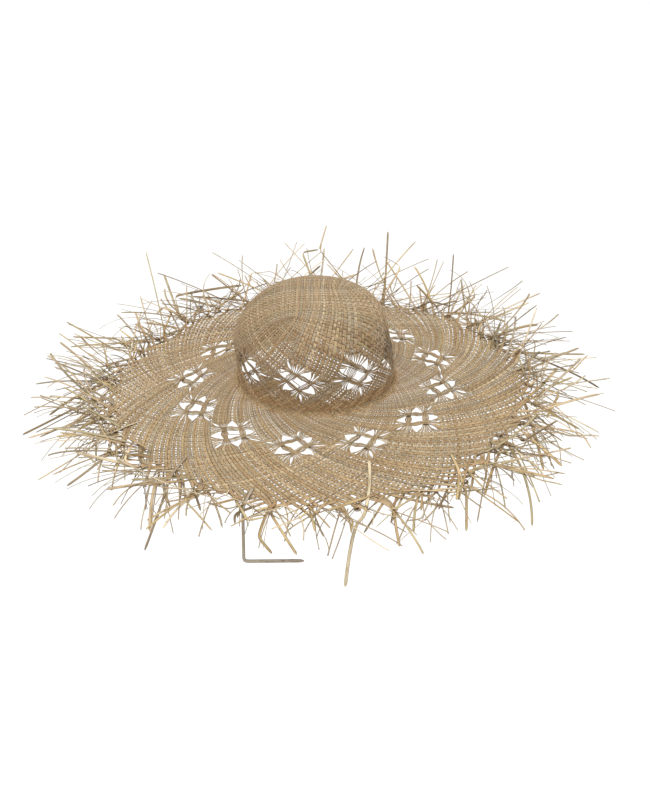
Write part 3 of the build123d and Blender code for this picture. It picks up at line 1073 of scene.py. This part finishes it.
def ribbon_look():
    """A ribbed cotton ribbon: upright ribs with a fine weave between them."""
    look = Look("sweatband ribbon")
    place = look.node("ShaderNodeTexCoord").outputs["Object"]
    split = look.node("ShaderNodeSeparateXYZ", Vector=place)
    angle = look.node("ShaderNodeMath", {"operation": "ARCTAN2"})
    look.set(angle.inputs[0], split.outputs[1])
    look.set(angle.inputs[1], split.outputs[0])
    around = look.node("ShaderNodeCombineXYZ", X=angle.outputs[0], Z=split.outputs[2])
    ribs = look.node(
        "ShaderNodeTexWave", {"bands_direction": "X"}, Vector=around.outputs[0], Scale=22.0, Distortion=0.0
    )
    yarn = look.noise(around.outputs[0], (240, 1, 2600), 2.0)
    worn = look.noise(place, (22, 22, 22), 4.0, 0.6)
    base = look.ramp(worn, (0.3, (0.52, 0.44, 0.32)), (0.7, (0.66, 0.58, 0.45)))
    shade = look.ramp(yarn, (0.2, (0.8, 0.8, 0.8)), (0.8, (1.1, 1.1, 1.1)))
    colour = look.blend("MULTIPLY", 1.0, base, shade)
    look.set(look.shader.inputs["Base Color"], colour)
    look.set(look.shader.inputs["Roughness"], look.span(yarn, 0.75, 0.95))
    both = look.node("ShaderNodeMath", {"operation": "ADD"})
    look.set(both.inputs[0], ribs.outputs["Fac"])
    look.set(both.inputs[1], yarn)
    look.bump(both.outputs[0], 0.7, 0.0003)
    return look.material


def thread_look():
    """Twisted cotton thread."""
    look = Look("sewing thread")
    grain = look.attribute("grain").outputs["Vector"]
    twist = look.noise(grain, (2400, 3800, 1), 1.0)
    colour = look.ramp(twist, (0.3, (0.42, 0.34, 0.24)), (0.7, (0.72, 0.64, 0.5)))
    look.set(look.shader.inputs["Base Color"], colour)
    look.set(look.shader.inputs["Roughness"], look.span(twist, 0.7, 0.9))
    look.bump(twist, 0.6, 0.0001)
    return look.material


# ---- put together ----
def keep(piece, slot, *nodes):
    """Fixes a piece to the hat and hides the CAD nodes it stands for. Its slot is not used."""
    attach(piece, "root")
    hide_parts(*nodes)


def build():
    """Every piece of the hat, in the order of the seeded random draws."""
    weave = straw_look("woven straw", (0.16, 0.09, 0.04, 1), 0.45)
    fringe_straw = straw_look("fringe straw", (0.14, 0.085, 0.04, 1), 0.4)
    tie_straw = straw_look("tie straw", (0.15, 0.09, 0.045, 1), 0.35)
    crown = [Straws() for _ in CROWN_ZONES]
    weave_crown(crown)
    for name, straws in zip(CROWN_ZONES, crown):
        keep(straws.piece(f"{name}_straws", weave), "crown_straw", name)
    brim = [Straws() for _ in range(len(BRIM_ZONES) + FRINGE_GROUPS)]
    weave_brim(brim)
    hang_straws(brim)
    add_fibres(brim)
    for name, straws in zip(BRIM_ZONES, brim):
        keep(straws.piece(f"{name}_straws", weave), "brim_straw", name)
    for number, straws in enumerate(brim[len(BRIM_ZONES):]):
        name = f"fringe_{number + 1:02d}"
        keep(straws.piece(f"{name}_straws", fringe_straw), "fringe_straw", name)
    ties = Straws()
    wind_ties(ties)
    keep(ties.piece("edge_tie_windings", tie_straw), "tie_straw", "edge_ties")
    band = make_sweatband(ribbon_look())
    keep(band, "ribbon", "sweatband")
    stitches = Straws()
    sew_sweatband(stitches)
    keep(stitches.piece("sweatband_stitches", thread_look()), "thread", "sweatband_stitching")


build()

# ---- stage ----
FLOOR_HEIGHT = -1.6
TARGET = (0.0107, -0.0179, -0.0309)
CAMERA_ELEVATION = math.radians(30)
CAMERA_DISTANCE = 2.8
LENS = 104.5


def make_stage():
    """A pale floor far below the hat, in even white light."""
    bpy.ops.mesh.primitive_plane_add(size=30, location=(0, 0, FLOOR_HEIGHT))
    floor = bpy.context.object
    floor.name = "floor"
    look = Look("pale floor")
    look.shader.inputs["Base Color"].default_value = (0.97, 0.97, 0.97, 1)
    look.shader.inputs["Roughness"].default_value = 0.9
    floor.data.materials.append(look.material)
    world = bpy.data.worlds.new("studio")
    world.use_nodes = True
    world.node_tree.nodes["Background"].inputs["Color"].default_value = (1, 1, 1, 1)
    world.node_tree.nodes["Background"].inputs["Strength"].default_value = 1.0
    bpy.context.scene.world = world
    bpy.context.scene.view_settings.view_transform = "Standard"


def add_light(name, location, size, power):
    """A square soft light aimed at the hat."""
    data = bpy.data.lights.new(name, "AREA")
    data.size = size
    data.energy = power
    light = link(name, data)
    light.location = location
    aim = Vector(TARGET) - light.location
    light.rotation_euler = aim.to_track_quat("-Z", "Y").to_euler()


def make_camera():
    """A long lens from the front, looking down on the hat."""
    data = bpy.data.cameras.new("camera")
    data.lens = LENS
    camera = link("camera", data)
    back = Vector((0, -math.cos(CAMERA_ELEVATION), math.sin(CAMERA_ELEVATION)))
    camera.location = Vector(TARGET) + back * CAMERA_DISTANCE
    camera.rotation_euler = (math.pi / 2 - CAMERA_ELEVATION, 0, 0)
    bpy.context.scene.camera = camera


make_stage()
add_light("key", (-0.3, -0.3, 3.0), 1.6, 58)
add_light("under", (0.2, 0.3, -1.5), 1.6, 14)
make_camera()
